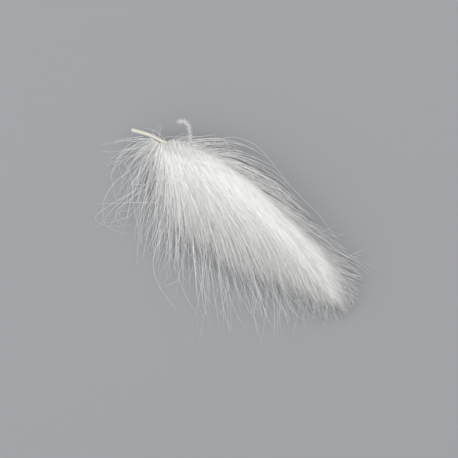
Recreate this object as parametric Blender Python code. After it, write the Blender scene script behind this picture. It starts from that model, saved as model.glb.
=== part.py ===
# A white cul de canard feather, lying on its own down with its shaft arched over it.
#
# The feather grew as one piece, so it is one closed solid: the shaft, the dense body of down on both
# sides of it, and the locks of barbs that run out of that body to the feather's edge.
#
# Frame: metres, +Z up. +X runs from the quill's cut end to the feather's tip, +Y is the short vane's
# side, and the origin is on the flat underside where the down is pressed against the table.

import math

import bmesh
import bpy
import numpy as np
from mathutils import Vector

MM = 0.001

# Where the quill's cut end lies, seen from the origin under the middle of the down
CUT_END = (-18.0, 0.0)

# The shaft's diameter at its cut end and where it fades out near the tip
QUILL_DIAMETER = 0.76
SHAFT_TIP_DIAMETER = 0.2
SHAFT_SIDES = 8
SHAFT_STATIONS = 14

# The shaft's centre line from the cut end: millimetres along, across and above the table
SHAFT = [
    (0.0, 0.0, 4.3),
    (2.8, 1.1, 5.1),
    (5.7, 1.7, 6.0),
    (8.8, 2.5, 6.7),
    (12.2, 3.3, 7.2),
    (18.0, 3.7, 7.4),
    (23.3, 3.4, 6.9),
    (28.7, 2.7, 5.9),
    (32.8, 1.6, 4.9),
    (36.3, 0.4, 3.9),
    (39.2, -0.8, 3.0),
]

# How the barbs of the long vane run, seen from above, from the shaft to their tips. The first ones
# turn back past the quill, and the last ones run on ahead of the shaft.
LONG_VANE = [
    [(3.4, 0.9), (0.6, -1.1), (-1.5, -3.4), (-2.6, -5.7)],
    [(3.8, 0.9), (2.4, -2.0), (1.6, -5.2), (1.2, -8.6)],
    [(4.4, 1.0), (3.9, -2.8), (4.1, -7.2), (5.0, -11.6)],
    [(5.0, 1.1), (6.2, -3.3), (8.0, -8.4), (10.8, -14.2)],
    [(6.1, 1.3), (9.3, -4.3), (12.2, -10.2), (14.6, -16.0)],
    [(7.2, 1.6), (11.9, -4.4), (16.3, -10.6), (20.0, -16.4)],
    [(8.5, 2.0), (14.2, -4.3), (21.0, -11.8), (29.3, -20.7)],
    [(10.2, 2.5), (17.0, -3.0), (24.6, -9.2), (32.9, -16.6)],
    [(12.2, 3.0), (19.6, -1.8), (27.9, -7.2), (37.2, -13.6)],
    [(14.8, 3.3), (22.6, -0.3), (31.2, -4.8), (40.4, -10.2)],
    [(18.6, 3.5), (26.2, 0.7), (34.2, -3.2), (42.4, -7.9)],
    [(23.3, 3.2), (30.3, 0.8), (37.2, -2.5), (43.8, -6.2)],
    [(28.7, 2.5), (34.3, 0.6), (40.0, -1.9), (45.2, -4.5)],
    [(34.6, 0.9), (38.6, -0.3), (42.5, -1.5), (46.1, -2.8)],
]

# The same for the short vane, which hugs the shaft
SHORT_VANE = [
    [(4.4, 1.6), (5.2, 3.2), (6.6, 4.6), (8.4, 5.8)],
    [(6.6, 2.2), (8.0, 4.6), (10.2, 6.6), (13.0, 8.2)],
    [(8.6, 2.9), (10.9, 5.9), (14.6, 8.6), (19.6, 10.6)],
    [(11.4, 3.6), (15.0, 6.6), (20.0, 8.4), (26.4, 8.9)],
    [(14.6, 4.0), (19.2, 6.2), (25.2, 7.2), (32.2, 6.8)],
    [(18.6, 4.1), (24.2, 5.5), (30.6, 6.1), (37.6, 6.3)],
    [(23.2, 3.8), (29.2, 4.5), (35.4, 4.9), (42.0, 5.6)],
    [(28.6, 3.1), (34.0, 3.4), (39.6, 3.6), (44.8, 4.6)],
    [(32.8, 2.0), (37.6, 2.1), (41.8, 2.1), (45.6, 2.4)],
    [(36.0, 0.8), (39.6, 0.5), (43.0, 0.2), (46.1, 0.0)],
]

# The curled tuft that stands up beside the quill, and the loose barbs above the short vane
TUFT = [(8.9, 3.2, 7.0), (9.3, 4.6, 8.0), (8.4, 6.2, 8.6), (6.0, 6.9, 8.4)]
LOOSE_BARBS = [
    (11.6, 4.4, 6.6),
    (14.8, 8.6, 6.2),
    (19.5, 10.2, 5.2),
    (25.4, 8.6, 4.3),
    (31.0, 6.9, 3.7),
    (36.6, 5.4, 3.2),
    (44.9, 6.6, 2.4),
]

# The dense body of down: how far out along the barbs it reaches, how high the down stands over the
# shaft, how far below that the body's own surface lies, and how small its two ends are drawn in, over
# how much of its length
BODY_REACH = {"long": 0.56, "short": 0.52}
DOWN_OVER_SHAFT = 1.1
BODY_LEVEL = 0.98
BODY_STATIONS = 14
BODY_END = 0.18
BODY_TAPER = 0.28

# Half of a ring round the body, from the shaft to the middle underneath: shares of the body's reach
# and of its height
BODY_SECTION = [
    (0.0, 1.0),
    (0.22, 1.0),
    (0.50, 1.0),
    (0.78, 0.98),
    (0.98, 0.70),
    (1.0, 0.36),
    (0.84, 0.0),
    (0.42, 0.0),
]

# How fast each vane falls from the shaft to its tips, and the height of the tips
VANE_FALL = {"long": 2.0, "short": 1.7}
TIP_HEIGHT = 0.8

# The locks of each vane: how many, how wide, where along the vane, how high between the table and the
# top of the down, where along their barbs they begin, and how far they reach
LOCK_ROWS = [
    {"vane": "long", "count": 25, "width": 2.1, "span": (0.00, 1.00), "level": 0.95, "start": 0.16, "reach": 1.00},
    {"vane": "long", "count": 11, "width": 1.8, "span": (0.03, 0.96), "level": 0.42, "start": 0.34, "reach": 0.92},
    {"vane": "short", "count": 17, "width": 1.7, "span": (0.00, 1.00), "level": 0.95, "start": 0.16, "reach": 1.00},
    {"vane": "short", "count": 8, "width": 1.5, "span": (0.06, 0.95), "level": 0.42, "start": 0.30, "reach": 0.92},
]
LOCK_THICKNESS = 0.66
LOCK_ROOT_WIDTH, LOCK_TIP_WIDTH = 0.9, 0.14
LOCK_WIDEST = 0.27
LOCK_SIDES = 5
LOCK_STATIONS = 6
TUFT_WIDTH, LOOSE_WIDTH = 1.1, 0.5
LEAST_CLEARANCE = 0.2

WHITE_DOWN = (0.86, 0.85, 0.82, 1.0)


def through(points, place):
    """The point at place, from 0 to len(points) - 1, on a smooth curve through the points."""
    points = np.asarray(points, float)
    last = len(points) - 1
    place = min(max(place, 0.0), float(last))
    i = min(int(place), last - 1)
    f = place - i
    before = points[i - 1] if i > 0 else 2 * points[0] - points[1]
    after = points[i + 2] if i + 2 <= last else 2 * points[last] - points[last - 1]
    a, b = points[i], points[i + 1]
    return 0.5 * (2 * a + (b - before) * f + (2 * before - 5 * a + 4 * b - after) * f * f
                  + (3 * a - before - 3 * b + after) * f ** 3)


def along_shaft(x):
    """The height of the shaft's centre line at x millimetres from the cut end."""
    xs, _, heights = zip(*SHAFT)
    return float(np.interp(x, xs, heights))


def plan_of(vane, where, out):
    """Where a barb lies, seen from above: where goes along the vane and out along the barb, 0 to 1."""
    guides = LONG_VANE if vane == "long" else SHORT_VANE
    at_out = [through(guide, out * (len(guide) - 1)) for guide in guides]
    return through(at_out, where * (len(guides) - 1))


def down_point(vane, where, out, level):
    """A point in the down, level 0 being on the table and 1 on the down's upper surface."""
    root_x = plan_of(vane, where, 0.0)[0]
    crest = along_shaft(root_x) + DOWN_OVER_SHAFT
    top = TIP_HEIGHT + (crest - TIP_HEIGHT) * (1.0 - out ** VANE_FALL[vane])
    x, y = plan_of(vane, where, out)
    return (x, y, level * top)


def placed(point):
    """Millimetres from the cut end as metres in the feather's frame."""
    x, y, z = point
    return Vector(((x + CUT_END[0]) * MM, (y + CUT_END[1]) * MM, z * MM))


def lofted(name, rings, tip=None):
    """A closed solid through rings of points, capped at both ends or drawn to a point at its tip."""
    mesh = bmesh.new()
    rows = [[mesh.verts.new(placed(p)) for p in ring] for ring in rings]
    for row, following in zip(rows, rows[1:]):
        for i in range(len(row)):
            j = (i + 1) % len(row)
            mesh.faces.new((row[i], row[j], following[j], following[i]))
    mesh.faces.new(list(reversed(rows[0])))
    if tip is None:
        mesh.faces.new(rows[-1])
    else:
        point = mesh.verts.new(placed(tip))
        for i in range(len(rows[-1])):
            mesh.faces.new((rows[-1][i], rows[-1][(i + 1) % len(rows[-1])], point))
    bmesh.ops.triangulate(mesh, faces=mesh.faces[:])
    bmesh.ops.recalc_face_normals(mesh, faces=mesh.faces[:])
    data = bpy.data.meshes.new(name)
    mesh.to_mesh(data)
    mesh.free()
    return bpy.data.objects.new(name, data)


def tube_rings(path, widths, thicknesses, sides):
    """Oval rings across a path, standing upright in its run."""
    rings = []
    for i, centre in enumerate(path):
        ahead = path[min(i + 1, len(path) - 1)] - path[max(i - 1, 0)]
        ahead.normalize()
        across = ahead.cross(Vector((0, 0, 1))).normalized()
        above = across.cross(ahead)
        turns = [2 * math.pi * k / sides for k in range(sides)]
        rings.append([centre + across * (widths[i] / 2 * math.cos(a)) + above * (thicknesses[i] / 2 * math.sin(a))
                      for a in turns])
    return rings


def build_shaft():
    """The round quill and the shaft that it runs out into."""
    places = [i / (SHAFT_STATIONS - 1) for i in range(SHAFT_STATIONS)]
    path = [Vector(through(SHAFT, p * (len(SHAFT) - 1))) for p in places]
    diameters = [QUILL_DIAMETER + (SHAFT_TIP_DIAMETER - QUILL_DIAMETER) * p for p in places]
    return lofted("shaft", tube_rings(path, diameters, diameters, SHAFT_SIDES))


def body_ring(station):
    """One ring of the dense down: over the shaft, down the long vane, along the table and back up."""
    sides = []
    for vane in ("long", "short"):
        reach = BODY_REACH[vane]
        sides.append([Vector(down_point(vane, station, reach * out, BODY_LEVEL * height))
                      for out, height in BODY_SECTION])
    ring = sides[0] + sides[1][:0:-1]
    from_end = min(station, 1 - station, BODY_TAPER) / BODY_TAPER
    drawn_in = BODY_END + (1 - BODY_END) * math.sin(math.pi / 2 * from_end) ** 0.7
    heart = Vector(plan_of("long", station, 0.0)).to_3d()
    heart.z = along_shaft(heart.x)
    return [heart + (point - heart) * drawn_in for point in ring]


def build_body():
    """The dense body of down, flat where it is pressed on the table."""
    steps = [i / (BODY_STATIONS - 1) for i in range(BODY_STATIONS)]
    return lofted("feather", [body_ring(step) for step in steps])


def lock_widths(count, width):
    """A lock's width along its run: narrow at the shaft, full where it leaves it, then drawn out fine."""
    shares = [i / (count - 1) for i in range(count)]
    return [float(np.interp(share, (0, LOCK_WIDEST, 0.75, 1), (LOCK_ROOT_WIDTH, width, 0.5 * width, LOCK_TIP_WIDTH)))
            for share in shares]


def build_lock(name, path, width):
    """One tapered lock of barbs along a path, ending in a point."""
    widths = lock_widths(len(path), width)
    thicknesses = [LOCK_THICKNESS * w for w in widths]
    for point, thick in zip(path, thicknesses):
        point.z = max(point.z, thick / 2 + LEAST_CLEARANCE)
    rings = tube_rings(path, widths, thicknesses, LOCK_SIDES)
    return lofted(name, rings[:-1], tip=path[-1])


def build_locks():
    """The locks of both vanes, the curled tuft and the loose barbs."""
    locks = []
    for row in LOCK_ROWS:
        for i in range(row["count"]):
            first, last = row["span"]
            where = first + (last - first) * i / (row["count"] - 1)
            reach = row["reach"] * (1.0 if i % 3 else 0.97)
            outs = [row["start"] + (reach - row["start"]) * k / (LOCK_STATIONS - 1) for k in range(LOCK_STATIONS)]
            root = Vector(plan_of(row["vane"], where, 0.0)).to_3d()
            root.z = along_shaft(root.x)
            path = [root] + [Vector(down_point(row["vane"], where, out, row["level"])) for out in outs]
            locks.append(build_lock("lock", path, row["width"]))
    for points, width in ((TUFT, TUFT_WIDTH), (LOOSE_BARBS, LOOSE_WIDTH)):
        steps = 2 * len(points) - 1
        path = [Vector(through(points, k * (len(points) - 1) / (steps - 1))) for k in range(steps)]
        locks.append(build_lock("lock", path, width))
    return locks


def down_material():
    """Matt white down."""
    material = bpy.data.materials.new("white_down")
    material.use_nodes = True
    shader = material.node_tree.nodes["Principled BSDF"]
    shader.inputs["Base Color"].default_value = WHITE_DOWN
    shader.inputs["Roughness"].default_value = 0.7
    shader.inputs["Metallic"].default_value = 0.0
    material.diffuse_color = WHITE_DOWN
    return material


def grown_together(feather, branches):
    """Joins the shaft and every lock to the body of down, as one closed solid."""
    helpers = bpy.data.collections.new("branches")
    bpy.context.scene.collection.children.link(helpers)
    for branch in branches:
        helpers.objects.link(branch)
        branch.hide_render = True
        branch.display_type = "WIRE"
    union = feather.modifiers.new("grown together", "BOOLEAN")
    union.operation = "UNION"
    union.operand_type = "COLLECTION"
    union.collection = helpers
    union.solver = "EXACT"


def build_feather():
    """The whole feather."""
    for old in list(bpy.data.objects):
        bpy.data.objects.remove(old)
    feather = build_body()
    bpy.context.scene.collection.objects.link(feather)
    feather.data.materials.append(down_material())
    grown_together(feather, [build_shaft()] + build_locks())
    feather.data.shade_smooth()
    feather.data.set_sharp_from_angle(angle=math.radians(40))


build_feather()
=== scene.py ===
# A white cul de canard feather: an arched shaft with thousands of fine downy barbs.
# Measures are millimetres from the quill's cut end: x towards the feather's tip, y to the side of the
# short vane, z above the table. The model itself is in metres, in the frame's own axes.

import math

import bpy
import numpy as np
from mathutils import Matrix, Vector


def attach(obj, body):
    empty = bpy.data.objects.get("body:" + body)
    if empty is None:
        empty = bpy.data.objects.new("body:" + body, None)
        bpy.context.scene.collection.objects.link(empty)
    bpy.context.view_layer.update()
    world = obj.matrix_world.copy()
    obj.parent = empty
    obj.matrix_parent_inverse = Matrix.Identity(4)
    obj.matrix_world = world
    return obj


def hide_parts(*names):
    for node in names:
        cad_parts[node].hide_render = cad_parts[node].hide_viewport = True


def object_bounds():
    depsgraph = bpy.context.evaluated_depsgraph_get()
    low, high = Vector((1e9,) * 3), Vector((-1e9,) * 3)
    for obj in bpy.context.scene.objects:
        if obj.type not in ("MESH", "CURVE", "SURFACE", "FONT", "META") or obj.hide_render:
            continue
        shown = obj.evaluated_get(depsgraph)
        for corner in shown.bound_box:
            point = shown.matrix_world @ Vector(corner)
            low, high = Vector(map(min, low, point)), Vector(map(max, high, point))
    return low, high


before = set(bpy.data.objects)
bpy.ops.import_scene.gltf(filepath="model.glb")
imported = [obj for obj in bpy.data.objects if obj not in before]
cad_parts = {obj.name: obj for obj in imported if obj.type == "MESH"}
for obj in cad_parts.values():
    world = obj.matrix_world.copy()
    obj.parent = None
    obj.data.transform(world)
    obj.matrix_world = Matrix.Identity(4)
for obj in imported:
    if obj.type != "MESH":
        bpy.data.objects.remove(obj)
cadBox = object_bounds()

mm = 0.001
cutEnd = np.array([-18.0, 0.0, 0.0])  # where these measures begin, from the frame's origin
draw = np.random.default_rng(31)
tiny = 1e-9  # keeps a direction without a length from being divided by zero

# The shaft's centre line
shaftLine = np.array([
    (0.0, 0.0, 4.3),
    (2.8, 1.1, 5.1),
    (5.7, 1.7, 6.0),
    (8.8, 2.5, 6.7),
    (12.2, 3.3, 7.2),
    (18.0, 3.7, 7.4),
    (23.3, 3.4, 6.9),
    (28.7, 2.7, 5.9),
    (32.8, 1.6, 4.9),
    (36.3, 0.4, 3.9),
    (39.2, -0.8, 3.0),
])

# How the barbs of each vane run, seen from above, from the shaft to their tips
guides = {
    "long": np.array([
        [(3.4, 0.9), (0.6, -1.1), (-1.5, -3.4), (-2.6, -5.7)],
        [(3.8, 0.9), (2.4, -2.0), (1.6, -5.2), (1.2, -8.6)],
        [(4.4, 1.0), (3.9, -2.8), (4.1, -7.2), (5.0, -11.6)],
        [(5.0, 1.1), (6.2, -3.3), (8.0, -8.4), (10.8, -14.2)],
        [(6.1, 1.3), (9.3, -4.3), (12.2, -10.2), (14.6, -16.0)],
        [(7.2, 1.6), (11.9, -4.4), (16.3, -10.6), (20.0, -16.4)],
        [(8.5, 2.0), (14.2, -4.3), (21.0, -11.8), (29.3, -20.7)],
        [(10.2, 2.5), (17.0, -3.0), (24.6, -9.2), (32.9, -16.6)],
        [(12.2, 3.0), (19.6, -1.8), (27.9, -7.2), (37.2, -13.6)],
        [(14.8, 3.3), (22.6, -0.3), (31.2, -4.8), (40.4, -10.2)],
        [(18.6, 3.5), (26.2, 0.7), (34.2, -3.2), (42.4, -7.9)],
        [(23.3, 3.2), (30.3, 0.8), (37.2, -2.5), (43.8, -6.2)],
        [(28.7, 2.5), (34.3, 0.6), (40.0, -1.9), (45.2, -4.5)],
        [(34.6, 0.9), (38.6, -0.3), (42.5, -1.5), (46.1, -2.8)],
        [(37.4, -0.1), (40.4, -0.5), (43.3, -0.8), (46.0, -0.9)],
    ]),
    "short": np.array([
        [(4.4, 1.6), (5.2, 3.2), (6.6, 4.6), (8.4, 5.8)],
        [(6.6, 2.2), (8.0, 4.6), (10.2, 6.6), (13.0, 8.2)],
        [(8.6, 2.9), (10.9, 5.9), (14.6, 8.6), (19.6, 10.6)],
        [(11.4, 3.6), (15.0, 6.6), (20.0, 8.4), (26.4, 8.9)],
        [(14.6, 4.0), (19.2, 6.2), (25.2, 7.2), (32.2, 6.8)],
        [(18.6, 4.1), (24.2, 5.5), (30.6, 6.1), (37.6, 6.3)],
        [(23.2, 3.8), (29.2, 4.5), (35.4, 4.9), (42.0, 5.6)],
        [(28.6, 3.1), (34.0, 3.4), (39.6, 3.6), (44.8, 4.6)],
        [(32.8, 2.0), (37.6, 2.1), (41.8, 2.1), (45.6, 2.4)],
        [(36.0, 0.8), (39.6, 0.5), (43.0, 0.2), (46.1, 0.0)],
        [(37.4, -0.1), (40.4, -0.9), (43.3, -1.6), (46.0, -2.2)],
    ]),
}

# How high the down stands over the shaft, how soon a barb has risen to it, and how it falls to the tips
dome = {"overShaft": 1.05, "tipHeight": 0.8, "risenBy": 0.16, "fall": {"long": 2.0, "short": 1.7}}

# How a barb bends: one slow bend, a quicker wave and, on a few barbs, a hooked tip. The sizes are set
# against the slow bend's, which each layer's sway gives.
bend = {
    "halfWaves": (0.5, 1.1),
    "quickWaves": (1.0, 2.2),
    "quickSize": 0.18,
    "hookSize": 0.25,
    "mostHook": 0.9,
    "hookFrom": 0.55,  # as a share of the barb's length
    "power": 1.4,  # of the distance from the root, with which every bend grows
    "upAndDown": 0.2,
}

# A barb is a three-sided thread that narrows to a point and stays clear of the table
thread = {"taper": 0.75, "taperPower": 1.6, "clearance": 0.02}


# Shader arithmetic: a number socket written with plain operators

class Value:
    def __init__(self, finish, socket):
        self.finish = finish
        self.socket = socket

    def math(self, operation, *others):
        sockets = dict(enumerate((self, *others)))
        return self.finish.node("ShaderNodeMath", {"operation": operation}, sockets, 0)

    def __add__(self, other):
        return self.math("ADD", other)

    def __sub__(self, other):
        return self.math("SUBTRACT", other)

    def __mul__(self, other):
        return self.math("MULTIPLY", other)

    def __pow__(self, other):
        return self.math("POWER", other)

    def __rsub__(self, other):
        return self.finish.node("ShaderNodeMath", {"operation": "SUBTRACT"}, {0: other, 1: self}, 0)

    __radd__ = __add__
    __rmul__ = __mul__


class Finish:
    def __init__(self, name):
        self.material = bpy.data.materials.new(name)
        self.material.use_nodes = True
        self.tree = self.material.node_tree
        self.shader = self.tree.nodes["Principled BSDF"]

    def node(self, kind, settings, sockets, output=None):
        made = self.tree.nodes.new(kind)
        for key, setting in settings.items():
            setattr(made, key, setting)
        for key, value in sockets.items():
            self.feed(made.inputs[key], value)
        return made if output is None else Value(self, made.outputs[output])

    def feed(self, socket, value):
        if isinstance(value, Value):
            self.tree.links.new(value.socket, socket)
        elif isinstance(value, tuple) and len(value) == 3 and socket.type == "RGBA":
            socket.default_value = (*value, 1)
        else:
            socket.default_value = value

    def blend(self, share, first, second):
        return self.node("ShaderNodeMix", {"data_type": "RGBA"}, {0: share, 6: first, 7: second}, 2)

    def onBarb(self):
        # how far along the barb, and how high on the map its own strip lies
        place = self.node("ShaderNodeUVMap", {"uv_map": "OFBake"}, {}, "UV")
        split = self.node("ShaderNodeSeparateXYZ", {}, {"Vector": place})
        return Value(self, split.outputs["X"]), Value(self, split.outputs["Y"])

    def paint(self, **sockets):
        for name, value in sockets.items():
            self.feed(self.shader.inputs[name.replace("_", " ")], value)


# Curves

def smoothAt(points, place):
    # points (..., count, dims) read at place (..., reads), 0 to count - 1, on a smooth curve
    count = points.shape[-2]
    place = np.clip(place, 0, count - 1)
    low = np.minimum(place.astype(int), count - 2)
    f = (place - low)[..., None]
    before = np.concatenate([2 * points[..., :1, :] - points[..., 1:2, :], points], axis=-2)
    after = np.concatenate([points, 2 * points[..., -1:, :] - points[..., -2:-1, :]], axis=-2)
    pick = low[..., None]
    p0 = np.take_along_axis(before, pick, -2)
    p1 = np.take_along_axis(points, pick, -2)
    p2 = np.take_along_axis(points, pick + 1, -2)
    p3 = np.take_along_axis(after, pick + 2, -2)
    return 0.5 * (2 * p1 + (p2 - p0) * f + (2 * p0 - 5 * p1 + 4 * p2 - p3) * f ** 2
                  + (3 * p1 - p0 - 3 * p2 + p3) * f ** 3)


def shaftHeight(x):
    return np.interp(x, shaftLine[:, 0], shaftLine[:, 2])


def barbPlan(vane, where, out):
    # where goes along the vane and out along each barb, both 0 to 1, and both (barbs, reads)
    lines = guides[vane]
    flat = lines.reshape(1, len(lines), 8)
    own = smoothAt(flat, (where * (len(lines) - 1)).reshape(1, -1)).reshape(*where.shape, 4, 2)
    return smoothAt(own, out[..., None] * 3)[..., 0, :], own[..., 0, 0]


def barbPath(vane, where, out, level, lift):
    # level 0 lies on the table and 1 on the down's upper surface
    where = np.broadcast_to(where, out.shape)
    plan, rootX = barbPlan(vane, where, out)
    base = shaftHeight(rootX)
    fall = 1 - np.clip(out, 0, 1) ** dome["fall"][vane]
    top = dome["tipHeight"] + (base + dome["overShaft"] - dome["tipHeight"]) * fall
    rise = np.clip(out / dome["risenBy"], 0, 1)
    rise = rise * rise * (3 - 2 * rise)
    z = base + lift + (level * top - base - lift) * rise
    return np.concatenate([plan, z[..., None]], axis=-1)


def swayed(paths, share):
    # bends barbs from side to side by a share of their length, more towards their tips
    steps = np.diff(paths, axis=1)
    length = np.linalg.norm(steps, axis=-1).sum(axis=1)[:, None]
    ahead = np.gradient(paths[..., :2], axis=1)
    ahead /= np.linalg.norm(ahead, axis=-1, keepdims=True) + tiny
    across = np.stack([-ahead[..., 1], ahead[..., 0]], -1)
    count = len(paths)
    t = np.linspace(0, 1, paths.shape[1])[None, :]
    slow = draw.normal(0, 1, (count, 1))
    slow = slow * np.sin(np.pi * t * draw.uniform(*bend["halfWaves"], (count, 1)))
    waves = t * draw.uniform(*bend["quickWaves"], (count, 1)) + draw.uniform(0, 1, (count, 1))
    quick = draw.normal(0, bend["quickSize"], (count, 1)) * np.sin(2 * np.pi * waves)
    curl = bend["hookSize"] * draw.normal(0, 1, (count, 1)) ** 3
    curl = np.clip(curl, -bend["mostHook"], bend["mostHook"])
    hook = curl * np.clip((t - bend["hookFrom"]) / (1 - bend["hookFrom"]), 0, 1) ** 2
    amount = share * length * t ** bend["power"] * (slow + quick + hook)
    paths = paths.copy()
    paths[..., :2] += across * amount[..., None]
    paths[..., 2] += draw.normal(0, bend["upAndDown"], (count, 1)) * share * length * t ** 2
    return paths


# Meshes of many barbs

def barbMesh(name, paths, widths, tones):
    # each path becomes a three-sided thread that is closed at its root and runs out to a point
    count, reads = paths.shape[:2]
    points = paths.copy()
    ahead = np.gradient(points, axis=1)
    ahead /= np.linalg.norm(ahead, axis=-1, keepdims=True) + tiny
    # almost straight up, so that a barb that stands upright still has a direction across it
    across = np.cross(ahead, np.array([0.02, 0.01, 1.0]))
    across /= np.linalg.norm(across, axis=-1, keepdims=True) + tiny
    above = np.cross(across, ahead)
    roll = draw.uniform(0, 2 * np.pi, (count, 1, 1, 1))
    turns = roll + (np.arange(3) * 2 * np.pi / 3)[None, None, :, None]
    t = np.linspace(0, 1, reads)[None, :]
    radii = 0.5 * widths[:, None] * (1 - thread["taper"] * t ** thread["taperPower"])
    points[..., 2] = np.maximum(points[..., 2], radii + thread["clearance"])
    spokes = np.cos(turns) * across[:, :-1, None, :] + np.sin(turns) * above[:, :-1, None, :]
    rings = points[:, :-1, None, :] + radii[:, :-1, None, None] * spokes
    corners = np.concatenate([rings.reshape(count, -1, 3), points[:, -1:, :]], axis=1)
    perBarb = corners.shape[1]
    vertices = (corners.reshape(-1, 3) + cutEnd) * mm

    quads, triangles, quadUv, triUv = [], [(0, 2, 1)], [], [((0, -1), (0.02, 1), (0, 0))]
    for i in range(reads - 2):
        for j in range(3):
            k = (j + 1) % 3
            quads.append((3 * i + j, 3 * i + k, 3 * i + 3 + k, 3 * i + 3 + j))
            quadUv.append(((i, j - 1), (i, k - 1), (i + 1, k - 1), (i + 1, j - 1)))
    for j in range(3):
        k = (j + 1) % 3
        triangles.append((3 * (reads - 2) + j, 3 * (reads - 2) + k, perBarb - 1))
        triUv.append(((reads - 2, j - 1), (reads - 2, k - 1), (reads - 1, 0)))

    start = (np.arange(count) * perBarb)[:, None]
    allQuads = (start + np.array(quads).reshape(1, -1)).reshape(-1)
    allTriangles = (start + np.array(triangles).reshape(1, -1)).reshape(-1)
    loops = np.concatenate([allQuads, allTriangles])
    sizes = np.concatenate([np.full(len(allQuads) // 4, 4), np.full(len(allTriangles) // 3, 3)])

    # the map holds each barb as a thin strip of its own: along it to the right, and its own number upwards
    def onMap(pattern):
        pattern = np.array(pattern, float).reshape(1, -1, 2)
        u = np.broadcast_to(pattern[..., 0] / (reads - 1), (count, pattern.shape[1]))
        v = tones[:, None] * 0.98 + 0.01 + pattern[..., 1] * 0.004
        return np.stack([u, v], -1).reshape(-1, 2)

    uv = np.concatenate([onMap(quadUv), onMap(triUv)])

    mesh = bpy.data.meshes.new(name)
    mesh.vertices.add(len(vertices))
    mesh.vertices.foreach_set("co", vertices.reshape(-1))
    mesh.loops.add(len(loops))
    mesh.loops.foreach_set("vertex_index", loops.astype(np.int32))
    mesh.polygons.add(len(sizes))
    mesh.polygons.foreach_set("loop_start", (np.cumsum(sizes) - sizes).astype(np.int32))
    mesh.uv_layers.new(name="OFBake")
    mesh.update(calc_edges=True)
    mesh.uv_layers["OFBake"].data.foreach_set("uv", uv.reshape(-1))
    mesh.shade_smooth()
    mesh.validate()
    piece = bpy.data.objects.new(name, mesh)
    bpy.context.scene.collection.objects.link(piece)
    triangleCount = int((sizes - 2).sum())
    print(name, count, "barbs,", triangleCount, "triangles")
    return piece


def partOfFeather(piece, finish):
    piece.data.materials.append(finish.material)
    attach(piece, "root")
    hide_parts("feather")


# The white down

down = {
    "pale": (0.93, 0.925, 0.90),
    "deep": (0.85, 0.84, 0.81),
    "tip": (0.95, 0.95, 0.93),
    "tipShare": 0.7,
    "roughness": 0.52,
    "roughnessSpread": 0.2,
    "sheen": 0.25,
    "sheenRoughness": 0.4,
    "specular": 0.4,
    "knots": 46.0,  # the fine joints along each barb
    "knotsShift": 90.0,  # so that they begin at another place on each barb
    "bump": {"Strength": 0.25, "Distance": 0.00002},
}


def downFinish():
    finish = Finish("white down")
    along, own = finish.onBarb()
    shade = finish.node("ShaderNodeTexWhiteNoise", {"noise_dimensions": "1D"}, {"W": own}, "Value")
    body = finish.blend(shade ** 1.5, down["pale"], down["deep"])
    colour = finish.blend(along ** 3.0 * down["tipShare"], body, down["tip"])
    knots = (along * down["knots"] + own * down["knotsShift"]).math("SINE")
    bump = finish.node("ShaderNodeBump", {}, {**down["bump"], "Height": knots}, "Normal")
    roughness = down["roughness"] + (shade - 0.5) * down["roughnessSpread"]
    finish.paint(Base_Color=colour, Roughness=roughness, Normal=bump, Sheen_Weight=down["sheen"],
                 Sheen_Roughness=down["sheenRoughness"], Specular_IOR_Level=down["specular"])
    return finish


downMaterial = downFinish()


# The vanes: layers of barbs from the table up to the silky cover

# how far out along each guide the down is dense; beyond that only single barbs go on to their tips
dense = {
    "long": (0.08, 0.12, 0.24, 0.38, 0.48, 0.54, 0.56, 0.62, 0.70, 0.76, 0.80, 0.81, 0.81, 0.80, 0.80),
    "short": (0.08, 0.14, 0.22, 0.20, 0.18, 0.20, 0.30, 0.48, 0.66, 0.75, 0.79),
}

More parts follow.
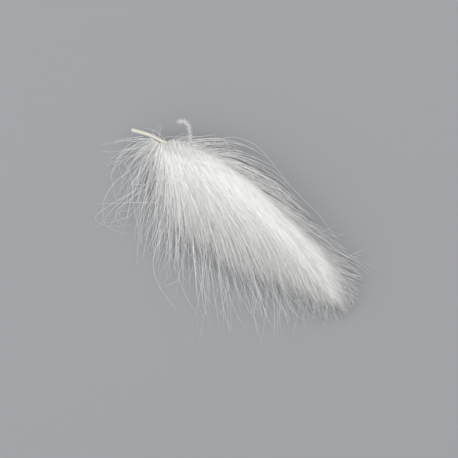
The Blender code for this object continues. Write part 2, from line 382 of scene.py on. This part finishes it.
# Each layer: where along the vane its barbs stand, how high they lie (0 the table, 1 the silky cover),
# how far they reach, how thick they are, how they sway, drift and gather into locks, and how they leave
# the shaft
layers = [
    {"name": "long_vane_cover", "vane": "long", "count": 3500, "reads": 9, "span": (0.33, 1.0),
     "crowd": 0.82, "levels": (0.93, 1.02), "ends": (0.35, 1.05), "tail": 34.0, "width": (0.07, 0.11),
     "sway": 0.022, "drift": 0.022, "locks": 90, "pull": 0.3,
     "along": (0.04, 0.20), "lift": (0.65, 1.05), "over": (-0.3, 1.7)},
    {"name": "long_vane_middle", "vane": "long", "count": 2600, "reads": 8, "span": (0.28, 1.0),
     "crowd": 0.82, "levels": (0.35, 0.93), "ends": (0.5, 1.10), "width": (0.06, 0.09),
     "sway": 0.03, "drift": 0.03, "locks": 50, "pull": 0.5,
     "along": (0.0, 0.06), "lift": (0.0, 0.5), "over": (-0.3, 0.3)},
    {"name": "long_vane_under", "vane": "long", "count": 1600, "reads": 8, "span": (0.24, 1.0),
     "crowd": 0.82, "levels": (0.02, 0.36), "ends": (0.5, 1.12), "width": (0.06, 0.09),
     "sway": 0.04, "drift": 0.03, "locks": 40, "pull": 0.6,
     "along": (0.0, 0.03), "lift": (-0.3, 0.2), "over": (-0.2, 0.1)},
    {"name": "short_vane_cover", "vane": "short", "count": 2100, "reads": 9, "span": (0.26, 1.0),
     "crowd": 0.9, "levels": (0.93, 1.02), "ends": (0.35, 1.05), "tail": 28.0, "width": (0.07, 0.11),
     "sway": 0.022, "drift": 0.025, "locks": 60, "pull": 0.3,
     "along": (0.04, 0.16), "lift": (0.65, 1.05), "over": (-0.3, 1.5)},
    {"name": "short_vane_under", "vane": "short", "count": 1900, "reads": 8, "span": (0.22, 1.0),
     "crowd": 0.9, "levels": (0.02, 0.90), "ends": (0.5, 1.12), "width": (0.06, 0.09),
     "sway": 0.035, "drift": 0.03, "locks": 40, "pull": 0.5,
     "along": (0.0, 0.05), "lift": (-0.3, 0.4), "over": (-0.3, 0.3)},
    {"name": "quill_barbs", "vane": "long", "count": 210, "reads": 14, "span": (0.0, 0.36),
     "crowd": 0.75, "levels": (0.10, 0.97), "ends": (0.9, 1.1), "tail": 1.5, "width": (0.05, 0.08),
     "sway": 0.085, "drift": 0.05, "locks": 26, "pull": 0.5,
     "along": (0.0, 0.02), "lift": (-0.2, 0.3), "over": (-0.2, 0.1)},
    {"name": "long_vane_fringe", "vane": "long", "count": 440, "reads": 14, "span": (0.26, 1.0),
     "crowd": 0.68, "levels": (0.15, 1.0), "ends": (0.9, 1.1), "tail": 1.3, "width": (0.06, 0.10),
     "sway": 0.13, "drift": 0.06, "locks": 44, "pull": 0.7,
     "along": (0.0, 0.08), "lift": (-0.2, 0.3), "over": (-0.2, 0.1)},
    {"name": "short_vane_fringe", "vane": "short", "count": 310, "reads": 14, "span": (0.06, 1.0),
     "crowd": 0.75, "levels": (0.3, 0.97), "ends": (0.9, 1.1), "tail": 1.3, "width": (0.08, 0.12),
     "sway": 0.055, "drift": 0.05, "locks": 34, "pull": 0.6,
     "along": (0.0, 0.08), "lift": (-0.2, 0.3), "over": (-0.2, 0.1)},
]

# How every layer starts and ends, as shares of the vane's or of the barb's length where no unit is named.
# The powers are of the distance out along the barb.
growth = {
    "begins": {"long": 0.2, "short": 0.12},  # where along the vane the down starts to stand up
    "standsAfter": 0.28,
    "jitter": 0.13,  # how unevenly a layer begins, unless it begins at the quill itself
    "jitterFrom": 0.2,
    "lowLift": -0.2,  # millimetres, before the down stands up
    "turnsOut": 0.5,
    "crossesShaft": 0.4,
    "driftFrom": 0.3,
    "clumpPower": 2.2,
    "flare": 1.3,  # millimetres that the last hairs at the feather's tip turn outwards
    "flarePower": 9,
}

edge = 0.4  # how far a barb may stand out of the solid's box
boxLow = np.array(cadBox[0]) / mm - cutEnd - edge
boxHigh = np.array(cadBox[1]) / mm - cutEnd + edge
grown = {}


def insideBox(paths):
    return paths[((paths > boxLow) & (paths < boxHigh)).all(axis=(1, 2))]


def growLayer(layer):
    vane, count = layer["vane"], layer["count"]
    side = {"long": -1, "short": 1}[vane]
    first, last = layer["span"]
    jitter = draw.uniform(-growth["jitter"], growth["jitter"], count)
    begin = first + jitter * np.clip(first / growth["jitterFrom"], 0, 1)
    goal = begin + (last - begin) * draw.uniform(0, 1, count) ** layer["crowd"]
    reach = np.interp(goal, np.linspace(0, 1, len(dense[vane])), dense[vane])
    reach *= draw.uniform(*layer["ends"], count)
    if "tail" in layer:
        reach += (1 - reach) * draw.uniform(0, 1, count) ** layer["tail"]
    level = draw.uniform(*layer["levels"], count)[:, None]
    # the down stands less high over the shaft where it begins, next to the bare quill
    stands = np.clip((goal - growth["begins"][vane]) / growth["standsAfter"], 0, 1)
    lift = draw.uniform(*layer["lift"], count) * stands + growth["lowLift"] * (1 - stands)
    lift = lift[:, None]
    out = reach[:, None] * np.linspace(0, 1, layer["reads"])[None, :]
    # near the shaft a barb first runs along it, and then turns out into the vane
    behind = (draw.uniform(*layer["along"], count) * stands)[:, None]
    behind = behind * (1 - np.clip(out / growth["turnsOut"], 0, 1)) ** 2
    drift = draw.normal(0, layer["drift"], (count, 1)) * (out - growth["driftFrom"])
    where = np.abs(goal[:, None] - behind + drift)
    where = 1 - np.abs(1 - where)
    paths = barbPath(vane, where, out, level, lift)
    # its root lies over the far side of the shaft, so that the down hides it
    over = (draw.uniform(*layer["over"], count) * stands)[:, None]
    paths[..., 1] -= side * over * (1 - np.clip(out / growth["crossesShaft"], 0, 1)) ** 2
    # neighbours gather into small clumps towards their tips
    centres = draw.uniform(first, last, layer["locks"])
    lock = np.abs(goal[:, None] - centres).argmin(axis=1)
    gathered = barbPath(vane, centres[lock][:, None], out, level, lift)
    pull = draw.uniform(0, layer["pull"], layer["locks"])[lock] * draw.uniform(0.5, 1.0, count)
    pull = pull[:, None] * out ** growth["clumpPower"]
    paths[..., :2] += (gathered - paths)[..., :2] * pull[..., None]
    # only the hairs on the last third of the vane flare
    flare = growth["flare"] * draw.uniform(0, 1, (count, 1)) * np.clip(goal[:, None] * 3 - 2, 0, 1)
    paths[..., 1] += side * flare * out ** growth["flarePower"]
    paths = insideBox(swayed(paths, layer["sway"]))
    count = len(paths)
    widths = draw.uniform(*layer["width"], count)
    piece = barbMesh(layer["name"], paths, widths, draw.uniform(0, 1, count))
    partOfFeather(piece, downMaterial)
    grown[layer["name"]] = paths


for layer in layers:
    growLayer(layer)


# Loose barbs that curl or cross on their own, each from the down to its free tip

looseBarbs = {
    "over_the_quill": {"height": (5.9, 6.6, 5.6), "line": [(6.2, 1.6), (5.5, 1.9), (4.7, 2.1),
        (3.6, 2.2), (2.6, 2.0), (1.4, 1.4)]},
    "crossing_low": {"height": (5.8, 6.2, 6.0), "line": [(6.4, 1.6), (4.3, 1.5), (3.0, 1.7), (3.0, 2.4),
        (3.2, 3.4)]},
    "crossing_high": {"height": (5.8, 6.4, 6.2), "line": [(5.6, 1.5), (4.3, 1.8), (3.9, 2.4), (3.6, 2.9),
        (3.4, 3.6)]},
    "to_tuft_a": {"height": (5.6, 6.8, 7.6), "line": [(5.2, 1.4), (5.1, 2.4), (6.2, 3.3), (6.8, 4.2),
        (7.3, 4.9)]},
    "to_tuft_b": {"height": (5.9, 6.9, 7.8), "line": [(5.9, 1.3), (6.1, 2.0), (6.7, 2.9), (7.4, 4.1),
        (8.2, 5.0)]},
    "to_tuft_c": {"height": (6.0, 6.6, 7.2), "line": [(6.6, 1.5), (6.2, 2.3), (7.3, 3.2), (8.1, 3.9),
        (9.0, 4.4)]},
    "arc": {"height": (7.4, 7.6, 7.2), "line": [(9.1, 3.8), (9.5, 4.8), (10.2, 5.9), (11.3, 6.9),
        (12.4, 7.6), (13.2, 7.6), (14.2, 7.1), (15.0, 6.7), (15.9, 6.0)]},
    "left_a": {"height": (5.0, 4.0, 2.6), "line": [(2.2, 0.4), (0.8, -1.0), (-0.1, -2.4), (-1.6, -3.9),
        (-2.6, -5.2)]},
    "left_b": {"height": (5.1, 3.6, 2.0), "line": [(3.1, 0.6), (2.5, -1.6), (0.9, -3.3), (-0.5, -4.8),
        (-2.2, -5.9)]},
    "left_c": {"height": (5.2, 3.4, 1.6), "line": [(3.8, 0.6), (3.3, -2.1), (2.1, -3.7), (1.0, -4.7),
        (-0.5, -5.8)]},
    "left_d": {"height": (4.8, 2.4, 0.9), "line": [(3.4, 0.8), (2.6, -1.2), (1.0, -3.6), (1.3, -5.3),
        (1.6, -7.2), (1.9, -8.9)]},
    "small_loop": {"height": (4.4, 3.0, 2.2), "line": [(7.0, -5.6), (5.4, -6.7), (4.4, -5.9),
        (3.1, -5.2), (1.9, -4.9), (1.8, -5.7), (2.5, -6.4), (3.7, -6.9), (5.3, -7.2)]},
    "wide_arc": {"height": (4.6, 1.6, 0.6), "line": [(5.0, 0.4), (4.4, -2.2), (3.6, -5.6), (3.1, -7.4),
        (2.9, -9.1), (3.1, -11.1), (3.7, -12.6), (4.8, -13.8), (5.9, -14.7), (7.2, -14.6), (8.6, -14.1),
        (9.4, -13.2)]},
    "straight_out": {"height": (3.4, 2.0, 1.0), "line": [(10.4, -6.6), (8.2, -8.3), (6.8, -9.4),
        (4.7, -11.2), (2.5, -12.9)]},
    "left_hook": {"height": (3.2, 1.6, 1.2), "line": [(3.4, -0.6), (1.6, -2.8), (1.0, -4.9), (1.6, -7.5),
        (2.8, -8.8), (4.6, -10.3), (5.2, -10.0), (5.9, -8.7), (6.4, -7.2)]},
    "turned_back": {"height": (3.6, 1.2, 0.7), "line": [(9.6, -3.8), (8.8, -6.5), (8.2, -10.4),
        (8.1, -11.2), (7.1, -12.7), (6.2, -13.9), (5.2, -15.0), (4.8, -16.3)]},
    "outer_loop": {"height": (2.6, 0.8, 0.5), "line": [(6.2, -7.6), (5.1, -10.2), (4.0, -13.3),
        (3.9, -14.8), (4.7, -15.1), (6.0, -14.8), (7.6, -13.7), (8.9, -12.3), (10.5, -11.3)]},
    "inner_loop": {"height": (3.0, 1.4, 0.9), "line": [(8.4, -4.6), (7.1, -7.0), (6.1, -10.5),
        (5.9, -11.8), (6.6, -12.8), (7.5, -13.0), (8.6, -12.7)]},
    "hairpin": {"height": (3.0, 1.6, 1.0), "line": [(8.0, -3.4), (7.5, -5.9), (7.5, -8.6), (7.5, -10.3),
        (6.6, -11.4), (6.7, -12.1), (7.5, -12.2), (8.5, -11.2)]},
    "left_e": {"height": (4.4, 3.0, 1.8), "line": [(4.0, 0.6), (3.3, -3.1), (3.8, -7.2), (4.2, -9.0)]},
    "left_f": {"height": (4.6, 2.6, 1.2), "line": [(5.4, 0.4), (5.2, -2.4), (4.7, -4.5), (4.5, -6.0),
        (4.7, -7.3), (5.6, -8.5)]},
    "long_stray": {"height": (7.6, 5.0, 2.4), "line": [(10.5, 4.2), (11.9, 7.1), (13.4, 8.9),
        (15.3, 9.8), (18.3, 10.2), (24.2, 8.8), (28.5, 8.1), (31.2, 7.9), (34.4, 7.1), (37.3, 6.1),
        (39.4, 5.7), (41.0, 6.1), (43.2, 6.4), (45.1, 6.8)]},
    "stray_fork": {"height": (3.4, 2.6, 1.8), "line": [(30.6, 4.2), (34.1, 5.2), (37.7, 5.6),
        (39.9, 5.8), (42.6, 5.8), (45.3, 5.6)]},
    "across_tip_a": {"height": (3.0, 2.4, 2.0), "line": [(34.0, 0.9), (36.5, 1.7), (38.7, 3.9),
        (39.9, 5.6), (40.5, 6.8), (41.2, 8.0)]},
    "across_tip_b": {"height": (2.6, 2.2, 1.8), "line": [(35.0, 1.2), (37.3, 2.2), (39.3, 4.2),
        (40.6, 5.9), (41.4, 7.2)]},
    "flick_a": {"height": (4.6, 3.8, 3.4), "line": [(27.6, 2.9), (31.6, 3.2), (33.9, 5.8), (34.7, 7.2),
        (35.3, 8.4)]},
    "flick_b": {"height": (4.8, 3.6, 3.0), "line": [(24.0, 4.0), (29.0, 4.0), (32.9, 4.8), (34.2, 5.3),
        (35.3, 6.2), (36.6, 7.3), (36.9, 8.1)]},
    "edge_a": {"height": (7.0, 5.2, 4.4), "line": [(16.4, 5.2), (21.9, 7.4), (26.7, 6.7), (29.0, 6.8),
        (30.0, 7.0), (31.0, 6.6)]},
    "edge_b": {"height": (6.6, 4.6, 3.2), "line": [(15.0, 4.6), (20.9, 7.0), (26.1, 6.2), (29.1, 5.7),
        (31.4, 5.3), (34.1, 5.7), (38.7, 5.9)]},
    "edge_c": {"height": (6.8, 5.0, 4.0), "line": [(14.6, 4.6), (19.8, 7.0), (25.9, 6.1), (28.0, 4.8)]},
    "low_a": {"height": (3.6, 1.6, 0.7), "line": [(9.2, -6.4), (10.0, -9.4), (11.5, -13.3),
        (13.1, -15.6), (14.2, -16.9)]},
    "low_b": {"height": (3.4, 1.6, 0.8), "line": [(9.8, -6.0), (10.7, -8.9), (12.6, -12.5),
        (13.5, -14.3), (14.1, -15.7)]},
    "low_c": {"height": (3.4, 1.8, 0.8), "line": [(11.8, -6.4), (12.9, -9.2), (14.5, -12.0),
        (16.0, -14.3), (16.5, -15.6)]},
    "low_d": {"height": (3.4, 1.8, 0.9), "line": [(15.4, -6.0), (16.7, -9.3), (17.4, -12.4),
        (17.5, -15.6)]},
    "low_e": {"height": (3.2, 1.8, 0.9), "line": [(15.8, -7.4), (16.9, -10.1), (18.5, -12.8),
        (19.1, -14.6), (19.0, -16.0)]},
    "low_f": {"height": (3.0, 1.4, 0.8), "line": [(17.8, -8.4), (19.3, -11.7), (20.5, -14.4),
        (20.0, -15.7), (19.5, -16.8)]},
    "longest_a": {"height": (3.2, 1.2, 0.5), "line": [(14.9, -9.0), (16.6, -11.4), (18.5, -12.8),
        (20.1, -13.8), (21.8, -15.0), (23.8, -16.1), (26.2, -17.0), (29.1, -19.8)]},
    "longest_b": {"height": (3.0, 1.0, 0.5), "line": [(21.0, -5.6), (22.9, -8.9), (25.2, -12.7),
        (27.7, -16.9), (29.6, -20.5)]},
}
loose = {"width": 0.058, "reads": 26}


def growLoose():
    paths = []
    for barb in looseBarbs.values():
        line = np.array(barb["line"])
        plan = smoothAt(line[None], np.linspace(0, len(line) - 1, loose["reads"])[None])[0]
        height = np.interp(np.linspace(0, 2, loose["reads"]), (0, 1, 2), barb["height"])
        paths.append(np.column_stack([plan, height]))
    paths = np.array(paths)
    count = len(paths)
    piece = barbMesh("loose_barbs", paths, np.full(count, loose["width"]), draw.uniform(0, 0.5, count))
    partOfFeather(piece, downMaterial)


growLoose()


# The curled tuft beside the quill, and the barbules that make the down soft

tuft = {
    "line": [(9.1, 3.4), (8.2, 4.7), (7.3, 5.7), (6.5, 6.0), (5.8, 6.0), (5.6, 5.6)],
    "height": (7.0, 8.2, 8.0),
    "barbs": 4,
    "spread": 0.12,
    "width": 0.05,
    "reads": 18,
}

barbules = [
    {"name": "tuft_barbules", "on": ["tuft"], "count": 340,
     "length": (0.40, 0.80), "width": (0.022, 0.032)},
    {"name": "surface_barbules", "on": ["long_vane_cover", "short_vane_cover"], "count": 9500,
     "length": (0.35, 0.90), "width": (0.03, 0.05)},
    {"name": "fringe_barbules", "on": ["quill_barbs", "long_vane_fringe", "short_vane_fringe"],
     "count": 3000, "length": (0.20, 0.50), "width": (0.018, 0.026)},
]

# A barbule leaves its barb to one side and bends towards the barb's tip
barbule = {"reads": 4, "rise": (-0.2, 0.6), "aside": (0.25, 0.8), "forward": 0.7, "bent": 0.4}


def growTuft():
    line = np.array(tuft["line"])
    t = np.linspace(0, 1, tuft["reads"])
    plan = smoothAt(line[None], (t * (len(line) - 1))[None])[0]
    height = np.interp(t, (0, 0.5, 1), tuft["height"])
    spine = np.column_stack([plan, height])
    count = tuft["barbs"]
    paths = spine[None] + draw.normal(0, tuft["spread"], (count, 1, 3)) * (0.25 + t[None, :, None])
    piece = barbMesh("tuft", paths, np.full(count, tuft["width"]), draw.uniform(0, 0.5, count))
    partOfFeather(piece, downMaterial)
    grown["tuft"] = paths


def sprouted(paths, count, lengths):
    # short barbules that stand out from both sides of the given barbs, angled towards their tips
    pick = draw.integers(0, len(paths), count)
    place = draw.uniform(0.02, 0.98, count) * (paths.shape[1] - 1)
    low = np.minimum(place.astype(int), paths.shape[1] - 2)
    f = (place - low)[:, None]
    root = paths[pick, low] * (1 - f) + paths[pick, low + 1] * f
    ahead = paths[pick, low + 1] - paths[pick, low]
    ahead /= np.linalg.norm(ahead, axis=1, keepdims=True)
    across = np.cross(ahead, (0, 0, 1.0)) * draw.choice([-1, 1], (count, 1))
    across[:, 2] = draw.uniform(*barbule["rise"], count)
    across /= np.linalg.norm(across, axis=1, keepdims=True)
    length = draw.uniform(*lengths, count)[:, None, None]
    t = np.linspace(0, 1, barbule["reads"])[None, :, None]
    aside = across[:, None] * t * draw.uniform(*barbule["aside"], (count, 1, 1))
    forward = ahead[:, None] * (t * barbule["forward"] + t * t * barbule["bent"])
    return root[:, None] + length * (aside + forward)


def growBarbules(group):
    barbs = [grown[name] for name in group["on"]]
    total = sum(map(len, barbs))
    lines = [sprouted(paths, round(group["count"] * len(paths) / total), group["length"])
             for paths in barbs]
    lines = insideBox(np.concatenate(lines))
    count = len(lines)
    widths = draw.uniform(*group["width"], count)
    piece = barbMesh(group["name"], lines, widths, draw.uniform(0, 0.7, count))
    partOfFeather(piece, downMaterial)


growTuft()
for group in barbules:
    growBarbules(group)


# The quill and shaft

quill = {
    "diameter": 0.64,
    "tipDiameter": 0.18,
    "taperPower": 0.8,
    "sides": 20,
    "reads": 70,
    # the cut end, a rounded rim round a shallow hollow: each ring's share of the radius, and its depth in
    # diameters
    "cutRings": [(0.55, 0.45), (0.62, 0.02), (0.86, -0.02), (1.0, 0.05)],
    "horn": (0.70, 0.67, 0.59),
    "streak": (0.60, 0.56, 0.47),
    "streaksAlong": 6.0,
    "streaksRound": 60.0,
    "roughness": 0.40,
    "roughnessSpread": 0.2,
    "coat": 0.1,
    "bump": {"Strength": 0.2, "Distance": 0.00003},
}


def shaftFinish():
    finish = Finish("ivory shaft")
    # the shaft's map runs along it to the right and round it upwards
    along, around = finish.onBarb()
    sockets = {"X": along * quill["streaksAlong"], "Y": around * quill["streaksRound"]}
    stretched = finish.node("ShaderNodeCombineXYZ", {}, sockets, 0)
    streak = finish.node("ShaderNodeTexNoise", {}, {"Vector": stretched, "Scale": 1.0, "Detail": 3.0}, 0)
    colour = finish.blend(streak, quill["horn"], quill["streak"])
    bump = finish.node("ShaderNodeBump", {}, {**quill["bump"], "Height": streak}, "Normal")
    roughness = quill["roughness"] + streak * quill["roughnessSpread"]
    finish.paint(Base_Color=colour, Roughness=roughness, Normal=bump, Coat_Weight=quill["coat"])
    return finish


def growShaft():
    reads, sides = quill["reads"], quill["sides"]
    t = np.linspace(0, 1, reads)
    line = smoothAt(shaftLine[None], (t * (len(shaftLine) - 1))[None])[0]
    thinner = (quill["tipDiameter"] - quill["diameter"]) * t ** quill["taperPower"]
    radii = 0.5 * (quill["diameter"] + thinner)
    ahead = np.gradient(line, axis=0)
    ahead /= np.linalg.norm(ahead, axis=1, keepdims=True)
    across = np.cross(ahead, (0, 0, 1.0))
    across /= np.linalg.norm(across, axis=1, keepdims=True)
    above = np.cross(across, ahead)
    turns = np.arange(sides) * 2 * np.pi / sides
    circle = (np.cos(turns)[None, :, None] * across[:, None, :]
              + np.sin(turns)[None, :, None] * above[:, None, :])

    rings = [line[0] + ahead[0] * radii[0] * depth * 2 + circle[0] * radii[0] * size
             for size, depth in quill["cutRings"]]
    rings += [line[i] + circle[i] * radii[i] for i in range(1, reads)]
    vertices = [tuple((p + cutEnd) * mm) for ring in rings for p in ring]
    faces = []
    for i in range(len(rings) - 1):
        for j in range(sides):
            k = (j + 1) % sides
            faces.append((i * sides + j, i * sides + k, (i + 1) * sides + k, (i + 1) * sides + j))
    faces.append(tuple(range(sides))[::-1])
    faces.append(tuple((len(rings) - 1) * sides + j for j in range(sides)))
    mesh = bpy.data.meshes.new("shaft")
    mesh.from_pydata(vertices, [], faces)
    uv = mesh.uv_layers.new(name="OFBake").data
    for polygon in mesh.polygons:
        corners = [(loop, *divmod(mesh.loops[loop].vertex_index, sides)) for loop in polygon.loop_indices]
        atSeam = {0, sides - 1} <= {j for loop, i, j in corners}
        for loop, i, j in corners:
            if polygon.loop_total == sides:
                uv[loop].uv = (0.5 + 0.4 * math.cos(turns[j]), 0.5 + 0.4 * math.sin(turns[j]))
            else:
                uv[loop].uv = (i / len(rings), (sides if atSeam and j == 0 else j) / sides)
    mesh.shade_smooth()
    piece = bpy.data.objects.new("shaft", mesh)
    bpy.context.scene.collection.objects.link(piece)
    partOfFeather(piece, shaftFinish())
    print("shaft", len(faces), "faces")


growShaft()


# Floor, light and camera

studio = {
    "floor": (0.30, 0.305, 0.315),
    "world": (0.92, 0.94, 1.0),
    "worldStrength": 0.54,
    "key": {"place": (0.00, 0.08, 0.50), "size": 0.36, "power": 1.65, "colour": (1.0, 0.985, 0.96)},
    "fill": {"place": (-0.30, -0.22, 0.36), "size": 0.5, "power": 0.9, "colour": (0.95, 0.97, 1.0)},
}

# Straight above the feather: width is what the picture takes in at that height over the table
view = {"turn": 38.1, "middle": (3.99, -2.89), "width": 73.3, "height": 4.0, "lens": 150.0, "sensor": 36.0}


def buildFloor():
    mesh = bpy.data.meshes.new("floor")
    mesh.from_pydata([(-2, -2, 0), (2, -2, 0), (2, 2, 0), (-2, 2, 0)], [], [(0, 1, 2, 3)])
    floor = bpy.data.objects.new("floor", mesh)
    bpy.context.scene.collection.objects.link(floor)
    finish = Finish("pale floor")
    finish.paint(Base_Color=studio["floor"], Roughness=0.9, Specular_IOR_Level=0.1)
    mesh.materials.append(finish.material)


def addLight(name, light):
    data = bpy.data.lights.new(name, "AREA")
    data.size = light["size"]
    data.energy = light["power"]
    data.color = light["colour"]
    lamp = bpy.data.objects.new(name, data)
    lamp.location = light["place"]
    lamp.rotation_euler = (-Vector(light["place"])).to_track_quat("-Z", "Y").to_euler()
    bpy.context.scene.collection.objects.link(lamp)


def addCamera():
    data = bpy.data.cameras.new("camera")
    data.lens = view["lens"]
    data.sensor_width = view["sensor"]
    data.clip_start = 0.01
    data.clip_end = 20.0
    camera = bpy.data.objects.new("camera", data)
    distance = view["width"] * view["lens"] / view["sensor"] + view["height"]
    camera.location = (view["middle"][0] * mm, view["middle"][1] * mm, distance * mm)
    camera.rotation_euler = (0, 0, math.radians(view["turn"]))
    bpy.context.scene.collection.objects.link(camera)
    bpy.context.scene.camera = camera


buildFloor()
addLight("key", studio["key"])
addLight("fill", studio["fill"])
addCamera()
world = bpy.data.worlds.new("studio")
world.use_nodes = True
world.node_tree.nodes["Background"].inputs["Color"].default_value = (*studio["world"], 1)
world.node_tree.nodes["Background"].inputs["Strength"].default_value = studio["worldStrength"]
bpy.context.scene.world = world
bpy.context.scene.view_settings.view_transform = "Standard"
print("floor, lights and camera are in place")
